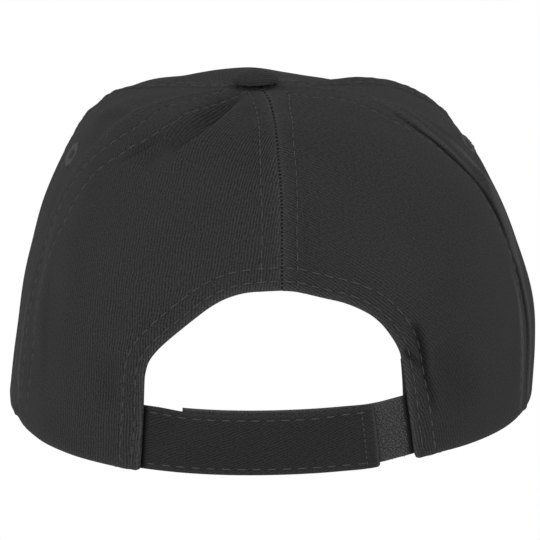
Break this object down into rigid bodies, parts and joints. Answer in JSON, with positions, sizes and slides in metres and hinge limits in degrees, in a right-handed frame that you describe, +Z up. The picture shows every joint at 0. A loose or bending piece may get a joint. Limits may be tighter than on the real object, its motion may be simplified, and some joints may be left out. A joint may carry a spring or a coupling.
{
  "type": "five panel cap",
  "caption": "Soft cloth cap with a wide front panel, curved peak, covered button and a hook and loop strap across a half-moon opening at the back.",
  "frame": {"origin": "on the table, under the middle of the cap's box", "axes": "+Z up, the peak points along -Y, +X is the wearer's left"},
  "size_m": [0.1788, 0.2622, 0.1152],
  "materials": {
    "cloth": "matt brushed twill",
    "button_cloth": "matt brushed twill",
    "sweatband_cloth": "matt twill",
    "strap_cloth": "matt twill",
    "loop_pile": "fuzzy loop pile",
    "thread": "soft sheen of stitched thread"
  },
  "bodies": {
    "root": {"front_panel": "cloth", "side_panel_left": "cloth", "side_panel_right": "cloth", "back_panel_left": "cloth", "back_panel_right": "cloth", "peak": "cloth", "sweatband": "sweatband_cloth", "strap_outer": "strap_cloth", "strap_inner": "loop_pile", "button": "button_cloth", "eyelet_left": "thread", "eyelet_right": "thread"}
  },
  "joints": []
}
